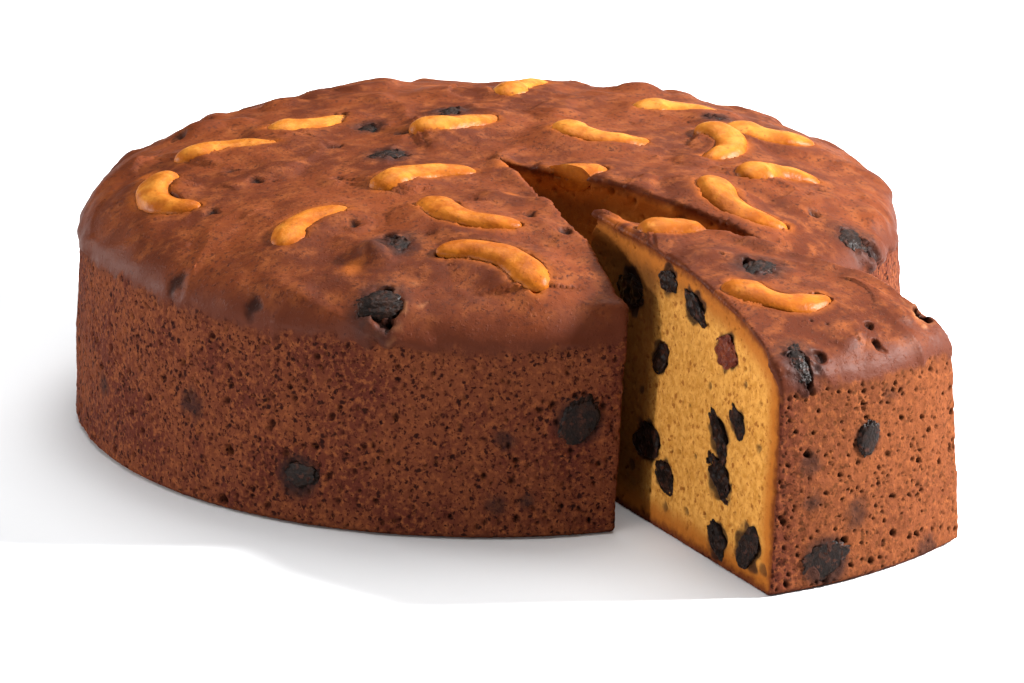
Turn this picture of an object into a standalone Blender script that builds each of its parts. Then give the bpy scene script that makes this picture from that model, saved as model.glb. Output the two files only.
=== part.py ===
"""Round fruit cake baked in an eight-inch tin, with one slice drawn part of the way out.

The cake stands on the XY plane with its own axis on Z, and the cut for the slice opens towards -Y. Every size
is in metres. The cake and the slice are two solids. Each cashew, raisin and cherry that shows is a solid too,
and it sits in a pocket of its own.

Run it with: blender --background --python part.py
"""

import math

import bmesh
import bpy
from mathutils import Matrix, Vector, noise

MM = 0.001

# The baked body
TIN_RADIUS = 101.6 * MM  # an eight-inch tin
BELLY_RADIUS = 100.9 * MM  # the wall half way up
RIM_RADIUS = 99.7 * MM  # where the wall ends and the risen top begins
RIM_HEIGHT = 45.6 * MM
CROWN_HEIGHT = 65.6 * MM  # the middle of the top, before its unevenness
DOME_FLATNESS = 2.9  # how long the top stays level before it falls to the rim
SHOULDER_ROUNDNESS = 2.1  # how tightly it turns down there
FOOT_ROUNDING = 1.6 * MM
SIDES_AROUND = 50
DOME_RINGS = 8
WALL_RINGS = 4

# The unevenness of the risen top
SWELL_HEIGHT = 1.5 * MM
SWELL_WIDTH = 34 * MM
LUMP_HEIGHT = 0.7 * MM
LUMP_WIDTH = 15 * MM

# The two knife cuts, which meet a little in front of the cake's axis
CUT_APEX = Vector((-6.6 * MM, -7.4 * MM, 0))
CUT_HALF_ANGLE = math.radians(17)
LEFT_CUT_LEAN = 3.3 * MM  # how far the foot of the left cut runs out to the side
SLICE_SHIFT = Vector((-10.4 * MM, -51.7 * MM, 0))
SLICE_TURN = math.radians(6.5)

POCKET_GAP = 0.35 * MM
CUTTER_REACH = 0.2  # longer than the cake is wide

# Cashews: x and y of the nut's middle (millimetres), the way from its thick end to its thin end (degrees),
# its length (millimetres), how far it curls (degrees, positive to the left) and the share of its thickness
# that is sunk in the crust.
CAKE_CASHEWS = [
    (-76, 29, -112, 31, 150, 0.50),
    (-47, 43, -28, 28, -70, 0.64),
    (-19, 46, -2, 28, 60, 0.64),
    (-67, -16, 14, 27, -105, 0.60),
    (3, 16, -4, 27, 60, 0.55),
    (-29, -11, -8, 29, -60, 0.53),
    (-39, -40.5, -76, 31, 100, 0.47),
    (41, 39.5, 25, 24, -80, 0.60),
    (-47, -63.5, 108, 32, 105, 0.45),
    (24, -13, -56, 29, 140, 0.50),
    (62, 2, -30, 26, -80, 0.66),
    (48, -31, -125, 29, -160, 0.50),
    (65.5, -28, -42, 24, 80, 0.52),
    (46.5, -54, -8, 24, -90, 0.56),
    (22, -67.5, -86, 31, 125, 0.54),
]
SLICE_CASHEWS = [
    (-12.5, -73.5, -50, 29, 140, 0.58),
]
# The cashew that the right cut goes through: a piece of it stays in the cake, and the rest is in the slice.
CUT_CASHEW = (-0.3, -30.8, -27, 22, 40, 0.55)

CASHEW_WIDTH = 11 * MM
CASHEW_THICKNESS = 9 * MM
CASHEW_THIN_END = 0.62  # the thin end's breadth against the thick end's
CASHEW_SIDES = 8
CASHEW_RINGS = 8

# Raisins in the crust: x and y of the middle (millimetres), heading (degrees), length (millimetres) and the
# share sunk.
CAKE_RAISINS = [
    (-24, 9, -10, 12, 0.66),
    (10, 28, 20, 11, 0.62),
    (-11, 34, 5, 9, 0.74),
    (-60, -41, 35, 13, 0.72),
    (-76, -56, -40, 13, 0.60),
    (62, -12, 0, 9, 0.58),
    (45, -84, 25, 12, 0.66),
]
SLICE_RAISINS = [
    (-5, -60, 15, 13, 0.70),
    (-25.5, -92, 60, 11, 0.66),
]
# Raisins that show in the wall: bearing from the cake's axis (degrees), height of the middle (millimetres),
# length (millimetres), tilt of the long side from level (degrees) and the share sunk.
CAKE_WALL_RAISINS = [
    (-116, 28, 13, 60, 0.80),
    (-154, 12, 12, 10, 0.86),
]
SLICE_WALL_RAISINS = [
    (-103, 6, 14, 12, 0.72),
    (-96, 33, 9, 70, 0.84),
]
# Raisins that the left cut has gone through: distance from the cuts' apex and height (both in millimetres),
# length and breadth (millimetres) and slope of the long side (degrees).
CUT_RAISINS = [
    (19, 52, 13, 7, 0),
    (36, 59, 9, 5, 0),
    (49, 56, 12.5, 4.5, -32),
    (35, 40, 9, 5, 60),
    (32, 19, 12, 8, 24),
    (64, 29.5, 12.5, 4.5, -52),
    (72, 35, 9, 4, -45),
    (66, 19.8, 13.5, 6, -42),
    (41, 13, 9, 6, -30),
    (66.8, 5.4, 10, 6, -42),
    (80.6, 8.3, 13, 6.5, 61),
]
CUT_CHERRY = (65, 50, 9, 7.5, 0)
RAISIN_THICKNESS = 0.62  # against its breadth
RAISIN_BREADTH = 0.70  # against its length
RAISIN_WRINKLE = 0.16
RAISIN_FINENESS = 2


def clear_scene():
    """Removes what the file holds, so that a run always starts from nothing."""
    for thing in list(bpy.data.objects):
        bpy.data.objects.remove(thing, do_unlink=True)


def make_material(name, colour, roughness):
    material = bpy.data.materials.new(name)
    material.use_nodes = True
    shader = material.node_tree.nodes["Principled BSDF"]
    shader.inputs["Base Color"].default_value = (*colour, 1)
    shader.inputs["Roughness"].default_value = roughness
    shader.inputs["Metallic"].default_value = 0
    return material


def top_height(radius):
    """Height of the even dome at this distance from the axis."""
    share = min(radius / RIM_RADIUS, 1)
    fall = (1 - share**DOME_FLATNESS) ** (1 / SHOULDER_ROUNDNESS)
    return RIM_HEIGHT + (CROWN_HEIGHT - RIM_HEIGHT) * fall


def top_lift(x, y):
    """The risen top's unevenness: broad swells with smaller lumps on them, none at the rim."""
    swell = noise.noise(Vector((x / SWELL_WIDTH, y / SWELL_WIDTH, 3.1))) * SWELL_HEIGHT
    lump = noise.noise(Vector((x / LUMP_WIDTH, y / LUMP_WIDTH, 8.4))) * LUMP_HEIGHT
    share = min(math.hypot(x, y) / RIM_RADIUS, 1)
    return (swell + lump) * (1 - share**8)


def crust_point(x, y):
    return Vector((x, y, top_height(math.hypot(x, y)) + top_lift(x, y)))


def crust_normal(x, y, step=0.5 * MM):
    along_x = crust_point(x + step, y) - crust_point(x - step, y)
    along_y = crust_point(x, y + step) - crust_point(x, y - step)
    return along_x.cross(along_y).normalized()


def body_profile():
    """Radius and height of the outline's points, from the crown over the rim to the middle of the foot."""
    points = [(0, CROWN_HEIGHT)]
    for ring in range(1, DOME_RINGS + 1):
        radius = RIM_RADIUS * math.sin(math.pi / 2 * ring / DOME_RINGS)
        points.append((radius, top_height(radius)))
    for ring in range(1, WALL_RINGS):
        share = ring / WALL_RINGS
        foot_share = max(0, 2 * share - 1)
        upper = RIM_RADIUS + (BELLY_RADIUS - RIM_RADIUS) * min(1, 2 * share)
        points.append((upper + (TIN_RADIUS - BELLY_RADIUS) * foot_share, RIM_HEIGHT * (1 - share)))
    points.append((TIN_RADIUS, FOOT_ROUNDING))
    points.append((TIN_RADIUS - FOOT_ROUNDING, 0))
    points.append((0, 0))
    return points


def whole_cake():
    """The uncut cake as a bmesh: its outline spun round the axis, then the top made uneven."""
    mesh = bmesh.new()
    outline = [mesh.verts.new((radius, 0, height)) for radius, height in body_profile()]
    edges = [mesh.edges.new(pair) for pair in zip(outline, outline[1:])]
    bmesh.ops.spin(mesh, geom=outline + edges, cent=(0, 0, 0), axis=(0, 0, 1),
                   angle=math.tau, steps=SIDES_AROUND, use_merge=True)
    bmesh.ops.remove_doubles(mesh, verts=mesh.verts, dist=0.01 * MM)
    bmesh.ops.recalc_face_normals(mesh, faces=mesh.faces)
    for vertex in mesh.verts:
        if vertex.co.z > RIM_HEIGHT:
            vertex.co.z += top_lift(vertex.co.x, vertex.co.y)
    return mesh


def cut_line(side):
    """Direction of a cut on the table: side is -1 for the left cut and 1 for the right one."""
    angle = -math.pi / 2 + side * CUT_HALF_ANGLE
    return Vector((math.cos(angle), math.sin(angle), 0))


def cut_plane(side):
    """A point on a cut and the normal that points into the slice."""
    along = cut_line(side)
    up = Vector((0, 0, RIM_HEIGHT))
    if side < 0:
        up += Vector((-along.y, along.x, 0)) * LEFT_CUT_LEAN
    into_slice = along.cross(up).normalized() * side
    return CUT_APEX + Vector((0, 0, RIM_HEIGHT)), into_slice


def keep_side(mesh, point, normal):
    """Cuts the closed mesh along a plane, keeps the part that the normal points to and closes it again."""
    geometry = list(mesh.verts) + list(mesh.edges) + list(mesh.faces)
    bmesh.ops.bisect_plane(mesh, geom=geometry, plane_co=point, plane_no=normal, clear_inner=True)
    rim = [edge for edge in mesh.edges if edge.is_boundary]
    if rim:
        bmesh.ops.holes_fill(mesh, edges=rim)
        bmesh.ops.recalc_face_normals(mesh, faces=mesh.faces)


def place(mesh, name, material, holder=None):
    """Makes the bmesh an object, shaded smooth where it is round, and held by an empty if one is given."""
    bmesh.ops.triangulate(mesh, faces=mesh.faces)
    data = bpy.data.meshes.new(name)
    mesh.to_mesh(data)
    mesh.free()
    data.shade_smooth()
    data.set_sharp_from_angle(angle=math.radians(40))
    data.materials.append(material)
    thing = bpy.data.objects.new(name, data)
    bpy.context.scene.collection.objects.link(thing)
    thing.parent = holder
    return thing


def hide_cutter(cutter):
    cutter.hide_render = True
    cutter.display_type = "WIRE"


def add_fruit(name, whole, material, pockets, cuts=(), holder=None):
    """Places a nut or raisin, sliced along the cuts that go through it.

    The cutter of its pocket is the whole fruit, grown by the gap. It goes on the list of pockets.
    """
    grown = whole.copy()
    grown.normal_update()
    moves = [vertex.normal * vertex.calc_shell_factor() * POCKET_GAP for vertex in grown.verts]
    for vertex, move in zip(grown.verts, moves):
        vertex.co += move
    cutter = place(grown, "pocket_" + name, material, holder)
    hide_cutter(cutter)
    pockets.append(cutter)
    for point, kept_side in cuts:
        keep_side(whole, point, kept_side)
    place(whole, name, material, holder)


def cut_out(body, cutters):
    """Takes the cutters' shapes out of the body."""
    group = bpy.data.collections.new("cutters_" + body.name)
    bpy.context.scene.collection.children.link(group)
    for cutter in cutters:
        bpy.context.scene.collection.objects.unlink(cutter)
        group.objects.link(cutter)
    modifier = body.modifiers.new("pockets", "BOOLEAN")
    modifier.operation = "DIFFERENCE"
    modifier.operand_type = "COLLECTION"
    modifier.collection = group
    modifier.solver = "EXACT"


def wedge_cutter(material):
    """The space that the slice was cut from: a tall three-cornered prism between the two cuts."""
    prism = bmesh.new()
    bmesh.ops.create_cube(prism, size=2 * CUTTER_REACH)
    for side in (-1, 1):
        point, into_slice = cut_plane(side)
        keep_side(prism, point, into_slice)
    cutter = place(prism, "slice_space", material)
    hide_cutter(cutter)
    return cutter


def seat(x, y, heading, depth):
    """Matrix that lays a piece on the crust at x and y, turned to its heading and sunk by the depth."""
    up = crust_normal(x, y)
    forward = Vector((math.cos(heading), math.sin(heading), 0))
    forward = (forward - up * forward.dot(up)).normalized()
    turn = Matrix((forward, up.cross(forward), up)).transposed().to_4x4()
    return Matrix.Translation(crust_point(x, y) - up * depth) @ turn


def cashew_mesh(x, y, heading, length, curl, sunk):
    """A ball stretched to the nut's length, thinned to one end, bent into a kidney and laid in the crust."""
    nut = bmesh.new()
    bmesh.ops.create_uvsphere(nut, u_segments=CASHEW_SIDES, v_segments=CASHEW_RINGS, radius=0.5,
                              matrix=Matrix.Rotation(math.pi / 2, 4, "Y"))
    length *= MM
    curl = math.radians(curl)
    bend_radius = length / curl
    for vertex in nut.verts:
        along, across, up = vertex.co
        blunt = (1 - (2 * along) ** 4) ** 0.5 / max((1 - (2 * along) ** 2) ** 0.5, 0.2)
        girth = blunt * (1 - (1 - CASHEW_THIN_END) * (along + 0.5))
        out = bend_radius - across * CASHEW_WIDTH * girth
        angle = along * curl
        middle = bend_radius * math.cos(curl / 4)
        vertex.co = (out * math.sin(angle), middle - out * math.cos(angle), up * CASHEW_THICKNESS * girth)
    bmesh.ops.recalc_face_normals(nut, faces=nut.faces)
    depth = (sunk - 0.5) * CASHEW_THICKNESS
    nut.transform(seat(x * MM, y * MM, math.radians(heading), depth))
    return nut


def raisin_ball(length, breadth, seed):
    """A dried fruit lying along X: a ball squeezed flat and wrinkled along its length."""
    ball = bmesh.new()
    bmesh.ops.create_icosphere(ball, subdivisions=RAISIN_FINENESS, radius=0.5)
    for vertex in ball.verts:
        ridge = noise.noise(Vector((vertex.co.x * 2, vertex.co.y * 5, vertex.co.z * 5 + seed)))
        vertex.co *= 1 + RAISIN_WRINKLE * ridge
    thickness = breadth * RAISIN_THICKNESS / RAISIN_BREADTH
    bmesh.ops.scale(ball, vec=(length, breadth, thickness), verts=ball.verts)
    return ball


def top_raisin_mesh(x, y, heading, length, sunk, seed):
    length *= MM
    ball = raisin_ball(length, length * RAISIN_BREADTH, seed)
    depth = (sunk - 0.5) * length * RAISIN_THICKNESS
    ball.transform(seat(x * MM, y * MM, math.radians(heading), depth))
    return ball


def wall_raisin_mesh(bearing, height, length, tilt, sunk, seed):
    """A raisin in the wall, with its flat side outwards."""
    length *= MM
    ball = raisin_ball(length, length * RAISIN_BREADTH, seed)
    reach = TIN_RADIUS - (sunk - 0.5) * length * RAISIN_THICKNESS
    outward = Matrix.Rotation(math.radians(bearing), 4, "Z")
    stand = Matrix.Rotation(math.pi / 2, 4, "Y") @ Matrix.Rotation(math.radians(90 + tilt), 4, "Z")
    ball.transform(outward @ Matrix.Translation((reach, 0, height * MM)) @ stand)
    return ball


def cut_fruit_mesh(distance, height, length, breadth, slope, seed):
    """A fruit that the left cut goes through the middle of, with its flat way along the cut."""
    fruit = raisin_ball(length * MM, breadth * MM, seed)
    along = cut_line(-1)
    point, into_slice = cut_plane(-1)
    up = along.cross(into_slice)
    frame = Matrix((along, up, -into_slice)).transposed().to_4x4()
    lift = height * MM - point.z
    centre = point + along * distance * MM + up * (lift / up.z)
    fruit.transform(Matrix.Translation(centre) @ frame @ Matrix.Rotation(math.radians(slope), 4, "Z"))
    return fruit


def add_cashews(cashew, cake_pockets, slice_pockets, holder):
    for number, nut in enumerate(CAKE_CASHEWS, 1):
        add_fruit(f"cashew_cake_{number:02d}", cashew_mesh(*nut), cashew, cake_pockets)
    for number, nut in enumerate(SLICE_CASHEWS, 1):
        add_fruit(f"cashew_slice_{number:02d}", cashew_mesh(*nut), cashew, slice_pockets, holder=holder)
    point, into_slice = cut_plane(1)
    add_fruit("cashew_cut_cake", cashew_mesh(*CUT_CASHEW), cashew, cake_pockets, [(point, -into_slice)])
    both_cuts = [cut_plane(-1), cut_plane(1)]
    add_fruit("cashew_cut_slice", cashew_mesh(*CUT_CASHEW), cashew, slice_pockets, both_cuts, holder)


def add_raisins(raisin, cherry, cake_pockets, slice_pockets, holder):
    left_cut = [cut_plane(-1)]
    for number, fruit in enumerate(CAKE_RAISINS, 1):
        add_fruit(f"raisin_cake_{number:02d}", top_raisin_mesh(*fruit, number), raisin, cake_pockets)
    for number, fruit in enumerate(CAKE_WALL_RAISINS, 1):
        add_fruit(f"raisin_cake_wall_{number:02d}", wall_raisin_mesh(*fruit, number), raisin, cake_pockets)
    for number, fruit in enumerate(SLICE_RAISINS, 1):
        add_fruit(f"raisin_slice_{number:02d}", top_raisin_mesh(*fruit, number), raisin, slice_pockets,
                  holder=holder)
    for number, fruit in enumerate(SLICE_WALL_RAISINS, 1):
        add_fruit(f"raisin_slice_wall_{number:02d}", wall_raisin_mesh(*fruit, number), raisin, slice_pockets,
                  holder=holder)
    for number, fruit in enumerate(CUT_RAISINS, 1):
        add_fruit(f"raisin_cut_{number:02d}", cut_fruit_mesh(*fruit, number), raisin, slice_pockets, left_cut,
                  holder)
    add_fruit("cherry_cut", cut_fruit_mesh(*CUT_CHERRY, 0), cherry, slice_pockets, left_cut, holder)


def build():
    clear_scene()
    crust = make_material("crust", (0.235, 0.085, 0.038), 0.5)
    cashew = make_material("cashew", (0.75, 0.36, 0.09), 0.35)
    raisin = make_material("raisin", (0.02, 0.012, 0.012), 0.4)
    cherry = make_material("cherry", (0.22, 0.03, 0.02), 0.3)

    slice_holder = bpy.data.objects.new("slice", None)
    slice_holder.location = SLICE_SHIFT
    slice_holder.rotation_euler.z = SLICE_TURN
    bpy.context.scene.collection.objects.link(slice_holder)

    cake_pockets = [wedge_cutter(crust)]
    slice_pockets = []
    add_cashews(cashew, cake_pockets, slice_pockets, slice_holder)
    add_raisins(raisin, cherry, cake_pockets, slice_pockets, slice_holder)

    cake_body = place(whole_cake(), "cake_body", crust)
    cut_out(cake_body, cake_pockets)

    wedge = whole_cake()
    for side in (-1, 1):
        keep_side(wedge, *cut_plane(side))
    slice_body = place(wedge, "slice_body", crust, slice_holder)
    cut_out(slice_body, slice_pockets)


build()
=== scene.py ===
# %% [markdown]
# # A fruit cake with one slice drawn out
#
# The cake is a plain round bake. Its top has risen into a low dome, and the batter has closed over most of
# the fruit on it. Cashews lie half sunk in that skin. The wall was against the tin, so it is full of small
# open pores. The knife shows the golden crumb, the brown border round it and the fruit that it went through.
#
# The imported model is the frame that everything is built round. It gives the places and the sizes, and this
# file gives the looks: each plain solid is replaced by a finely modelled piece of the same shape.

# %% Load the frame
import math

import bmesh
import bpy
from mathutils import Matrix, Vector, kdtree, noise
from mathutils.bvhtree import BVHTree


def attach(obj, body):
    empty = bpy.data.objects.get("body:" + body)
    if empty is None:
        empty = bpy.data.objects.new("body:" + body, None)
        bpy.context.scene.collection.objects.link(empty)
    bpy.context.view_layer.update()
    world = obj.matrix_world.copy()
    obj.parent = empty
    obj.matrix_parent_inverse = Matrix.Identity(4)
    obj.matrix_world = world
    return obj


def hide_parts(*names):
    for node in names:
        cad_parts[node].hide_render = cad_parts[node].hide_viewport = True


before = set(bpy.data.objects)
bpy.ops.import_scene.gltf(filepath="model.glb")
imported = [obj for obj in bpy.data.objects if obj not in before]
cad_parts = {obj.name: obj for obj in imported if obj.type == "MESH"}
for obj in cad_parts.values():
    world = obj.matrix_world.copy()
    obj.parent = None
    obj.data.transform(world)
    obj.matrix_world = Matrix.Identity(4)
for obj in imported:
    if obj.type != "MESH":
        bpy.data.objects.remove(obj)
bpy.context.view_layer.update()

MM = 0.001

# %% [markdown]
# ## The camera, the table and the light
#
# The cake is seen from a little above, with a long lens, so that its round top shows as a narrow ellipse. A
# pale table that the main light overexposes makes a photographer's white sweep. That light is a small, strong
# panel to the right. It throws the shadow to the left, and it lights the slice's wall but not the cake's
# front. Weaker panels fill the cut face and the left wall, and two overhead lift the top and the shadow.

# %% Camera
CAMERA_AZIMUTH = math.radians(-38.16)
CAMERA_ELEVATION = math.radians(17.97)
CAMERA_DISTANCE = 1.623
CAMERA_LENS = 232.0
CAMERA_TARGET = Vector((4.45, -3.5, 15.42)) * MM


def direction(azimuth, elevation):
    """The way from the object to something seen from that side: azimuth 0 is in front, at -Y."""
    level = math.cos(elevation)
    return Vector((math.sin(azimuth) * level, -math.cos(azimuth) * level, math.sin(elevation)))


def aim(thing, azimuth, elevation, distance, target):
    back = direction(azimuth, elevation)
    thing.location = target + back * distance
    thing.rotation_euler = back.to_track_quat("Z", "Y").to_euler()


camera = bpy.data.objects.new("camera", bpy.data.cameras.new("camera"))
camera.data.lens = CAMERA_LENS
camera.data.sensor_width = 36
aim(camera, CAMERA_AZIMUTH, CAMERA_ELEVATION, CAMERA_DISTANCE, CAMERA_TARGET)
bpy.context.scene.collection.objects.link(camera)
bpy.context.scene.camera = camera
bpy.context.scene.view_settings.view_transform = "Standard"
print("camera at", [round(value, 3) for value in camera.location])

# %% Lights and table
# Name, azimuth and elevation in degrees, distance, width and power in watts.
LIGHTS = [
    ("key", 54, 30, 1.5, 0.16, 120),
    ("cut face fill", -84, 4, 1.4, 0.14, 14),
    ("left wall fill", -150, 12, 1.4, 0.5, 16),
    ("back sheen", 122, 24, 1.4, 0.8, 2.5),
    ("overhead", 130, 66, 1.2, 0.7, 10),
    ("zenith", -40, 84, 1.5, 1.2, 17),
]
SKY_STRENGTH = 0.10
TABLE_SIZE = 6.0
TABLE_DROP = 0.05 * MM  # keeps the table's plane just clear of the cake's foot


def add_light(name, azimuth, elevation, distance, width, power):
    light = bpy.data.objects.new(name, bpy.data.lights.new(name, "AREA"))
    light.data.shape = "DISK"
    light.data.size = width
    light.data.energy = power
    aim(light, math.radians(azimuth), math.radians(elevation), distance, Vector((0, 0, 30 * MM)))
    bpy.context.scene.collection.objects.link(light)


for light in LIGHTS:
    add_light(*light)

world = bpy.data.worlds.new("sky")
world.use_nodes = True
world.node_tree.nodes["Background"].inputs["Color"].default_value = (0.96, 0.98, 1, 1)
world.node_tree.nodes["Background"].inputs["Strength"].default_value = SKY_STRENGTH
bpy.context.scene.world = world

table_mesh = bmesh.new()
bmesh.ops.create_grid(table_mesh, x_segments=1, y_segments=1, size=TABLE_SIZE / 2)
bmesh.ops.translate(table_mesh, vec=(0, 0, -TABLE_DROP), verts=table_mesh.verts)
table = bpy.data.objects.new("table", bpy.data.meshes.new("table"))
table_mesh.to_mesh(table.data)
table_mesh.free()
bpy.context.scene.collection.objects.link(table)
print("lights:", [light[0] for light in LIGHTS])

# %% [markdown]
# ## The cake's measures
#
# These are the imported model's own driving sizes. The risen top is a formula: level in the middle, falling
# faster and faster to the rim, with two sizes of noise on it. One knife cut is straight, the other leans.

# %% Sizes of the bake and of the cuts
TIN_RADIUS = 101.6 * MM
BELLY_RADIUS = 100.9 * MM
RIM_RADIUS = 99.7 * MM
RIM_HEIGHT = 45.6 * MM
CROWN_HEIGHT = 65.6 * MM
DOME_FLATNESS = 2.9
SHOULDER_ROUNDNESS = 2.1
FOOT_ROUNDING = 1.2 * MM
SWELL_HEIGHT = 1.5 * MM
SWELL_WIDTH = 34 * MM
LUMP_HEIGHT = 0.7 * MM
LUMP_WIDTH = 15 * MM
CUT_APEX = Vector((-6.6 * MM, -7.4 * MM, 0))
CUT_HALF_ANGLE = math.radians(17)
LEFT_CUT_LEAN = 3.3 * MM
SLICE_SHIFT = Vector((-10.4 * MM, -51.7 * MM, 0))
SLICE_TURN = math.radians(6.5)
SLICE_PLACE = Matrix.Translation(SLICE_SHIFT) @ Matrix.Rotation(SLICE_TURN, 4, "Z")


def top_height(radius):
    share = min(radius / RIM_RADIUS, 1)
    fall = (1 - share**DOME_FLATNESS) ** (1 / SHOULDER_ROUNDNESS)
    return RIM_HEIGHT + (CROWN_HEIGHT - RIM_HEIGHT) * fall


def top_lift(x, y):
    swell = noise.noise(Vector((x / SWELL_WIDTH, y / SWELL_WIDTH, 3.1))) * SWELL_HEIGHT
    lump = noise.noise(Vector((x / LUMP_WIDTH, y / LUMP_WIDTH, 8.4))) * LUMP_HEIGHT
    share = min(math.hypot(x, y) / RIM_RADIUS, 1)
    return (swell + lump) * (1 - share**8)


def crust_point(x, y):
    return Vector((x, y, top_height(math.hypot(x, y)) + top_lift(x, y)))


def crust_normal(x, y, step=0.5 * MM):
    along_x = crust_point(x + step, y) - crust_point(x - step, y)
    along_y = crust_point(x, y + step) - crust_point(x, y - step)
    return along_x.cross(along_y).normalized()


def smooth_step(low, high, value):
    share = min(max((value - low) / (high - low), 0), 1)
    return share * share * (3 - 2 * share)


def fade(low, high, value):
    """1 below low, 0 above high, smooth between."""
    return 1 - smooth_step(low, high, value)


def wavy(point, width, seed=0.0):
    """Soft noise from -1 to 1, whose waves are about this wide."""
    return noise.noise(Vector((point.x / width + seed, point.y / width, point.z / width)))


print("crown", round(top_height(0) / MM, 1), "mm, rim", round(RIM_HEIGHT / MM, 1), "mm")

# %% [markdown]
# ## The whole bake, then the knife
#
# A real cake gets its shape from a round tin, so its body is an outline spun round the axis. The knife comes
# after: two planes cut the slice out of one copy, and a Boolean takes the same wedge out of the other. Planes
# alone could not do the second, because the wedge has to go out of the middle of the bake.

# %% Spin the bake
SPIN_STEPS = 200
DOME_RINGS = 44


def bake_outline():
    """From the crown over the rim and down the wall to the middle of the foot."""
    points = [(0, CROWN_HEIGHT)]
    for ring in range(1, DOME_RINGS + 1):
        radius = RIM_RADIUS * math.sin(math.pi / 2 * ring / DOME_RINGS)
        points.append((radius, top_height(radius)))
    points.append((BELLY_RADIUS, RIM_HEIGHT / 2))
    points.append((TIN_RADIUS, FOOT_ROUNDING))
    points.append((TIN_RADIUS - FOOT_ROUNDING, 0))
    points.append((0, 0))
    return points


def whole_bake():
    bake = bmesh.new()
    outline = [bake.verts.new((radius, 0, height)) for radius, height in bake_outline()]
    edges = [bake.edges.new(pair) for pair in zip(outline, outline[1:])]
    bmesh.ops.spin(bake, geom=outline + edges, cent=(0, 0, 0), axis=(0, 0, 1),
                   angle=math.tau, steps=SPIN_STEPS, use_merge=True)
    bmesh.ops.remove_doubles(bake, verts=bake.verts, dist=0.01 * MM)
    bmesh.ops.recalc_face_normals(bake, faces=bake.faces)
    for vertex in bake.verts:
        if vertex.co.z > RIM_HEIGHT:
            vertex.co.z += top_lift(vertex.co.x, vertex.co.y)
    return bake


outside = whole_bake()
BAKED_SURFACE = BVHTree.FromBMesh(outside)
print("bake:", len(outside.faces), "faces")
outside.free()

# %% Cut it with the knife


def cut_line(side):
    """Direction of a cut on the table: side is -1 for the left cut and 1 for the right one."""
    angle = -math.pi / 2 + side * CUT_HALF_ANGLE
    return Vector((math.cos(angle), math.sin(angle), 0))


def cut_plane(side):
    """A point on a cut and the normal that points into the slice."""
    along = cut_line(side)
    up = Vector((0, 0, RIM_HEIGHT))
    if side < 0:
        up += Vector((-along.y, along.x, 0)) * LEFT_CUT_LEAN
    into_slice = along.cross(up).normalized() * side
    return CUT_APEX + Vector((0, 0, RIM_HEIGHT)), into_slice


def keep_side(mesh, point, normal):
    """Cuts the closed mesh along a plane, keeps the part that the normal points to and closes it again."""
    geometry = list(mesh.verts) + list(mesh.edges) + list(mesh.faces)
    bmesh.ops.bisect_plane(mesh, geom=geometry, plane_co=point, plane_no=normal, clear_inner=True)
    rim = [edge for edge in mesh.edges if edge.is_boundary]
    if rim:
        bmesh.ops.holes_fill(mesh, edges=rim)
        bmesh.ops.recalc_face_normals(mesh, faces=mesh.faces)


def new_piece(mesh, name):
    data = bpy.data.meshes.new(name)
    mesh.to_mesh(data)
    mesh.free()
    piece = bpy.data.objects.new(name, data)
    bpy.context.scene.collection.objects.link(piece)
    return piece


def settle(piece):
    """Makes the piece's modifiers part of its mesh."""
    graph = bpy.context.evaluated_depsgraph_get()
    done = bpy.data.meshes.new_from_object(piece.evaluated_get(graph))
    piece.modifiers.clear()
    piece.data = done


slice_mesh = whole_bake()
for side in (-1, 1):
    keep_side(slice_mesh, *cut_plane(side))
cake_slice = new_piece(slice_mesh, "slice")

knife_mesh = bmesh.new()
bmesh.ops.create_cube(knife_mesh, size=0.4)
for side in (-1, 1):
    keep_side(knife_mesh, *cut_plane(side))
knife = new_piece(knife_mesh, "knife")
cake = new_piece(whole_bake(), "cake")
cut = cake.modifiers.new("cut", "BOOLEAN")
cut.operation = "DIFFERENCE"
cut.object = knife
cut.solver = "EXACT"
settle(cake)
bpy.data.objects.remove(knife, do_unlink=True)
print("cake", len(cake.data.polygons), "faces, slice", len(cake_slice.data.polygons), "faces")

# %% [markdown]
# ## Where the fruit lies
#
# Cashews first. Each line says where a nut's middle is, which way it points, how long it is, how far it curls
# and how deep it has sunk. The last number is how much of it the batter has closed over. The same table
# shapes the nuts and the crust round them, so the two always fit.

# %% Cashews
# x, y (mm), heading from the thick end to the thin end (degrees), length (mm), curl (degrees), share sunk,
# share covered by the crust.
CAKE_CASHEWS = [
    (-76, 29, -112, 31, 150, 0.50, 0.00),
    (-47, 43, -28, 28, -70, 0.64, 0.50),
    (-19, 46, -2, 28, 60, 0.64, 0.40),
    (-67, -16, 14, 27, -105, 0.60, 0.30),
    (3, 16, -4, 27, 60, 0.55, 0.22),
    (-29, -11, -8, 29, -60, 0.53, 0.20),
    (-39, -40.5, -76, 31, 100, 0.47, 0.00),
    (41, 39.5, 25, 24, -80, 0.60, 0.30),
    (-47, -63.5, 108, 32, 105, 0.45, 0.00),
    (24, -13, -56, 29, 140, 0.50, 0.12),
    (62, 2, -30, 26, -80, 0.66, 0.40),
    (48, -31, -125, 29, -160, 0.50, 0.15),
    (65.5, -28, -42, 24, 80, 0.52, 0.30),
    (46.5, -54, -8, 24, -90, 0.56, 0.35),
    (22, -67.5, -86, 31, 125, 0.54, 0.00),
]
SLICE_CASHEWS = [
    (-12.5, -73.5, -50, 29, 140, 0.58, 0.00),
]
CUT_CASHEW = (-0.3, -30.8, -27, 22, 40, 0.55, 0.00)
CASHEW_WIDTH = 11 * MM
CASHEW_THICKNESS = 9 * MM
CASHEW_CROWN = 0.43 * CASHEW_THICKNESS  # from a nut's middle to the top of its back
CASHEW_THIN_END = 0.62
PATH_SAMPLES = 17


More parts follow.
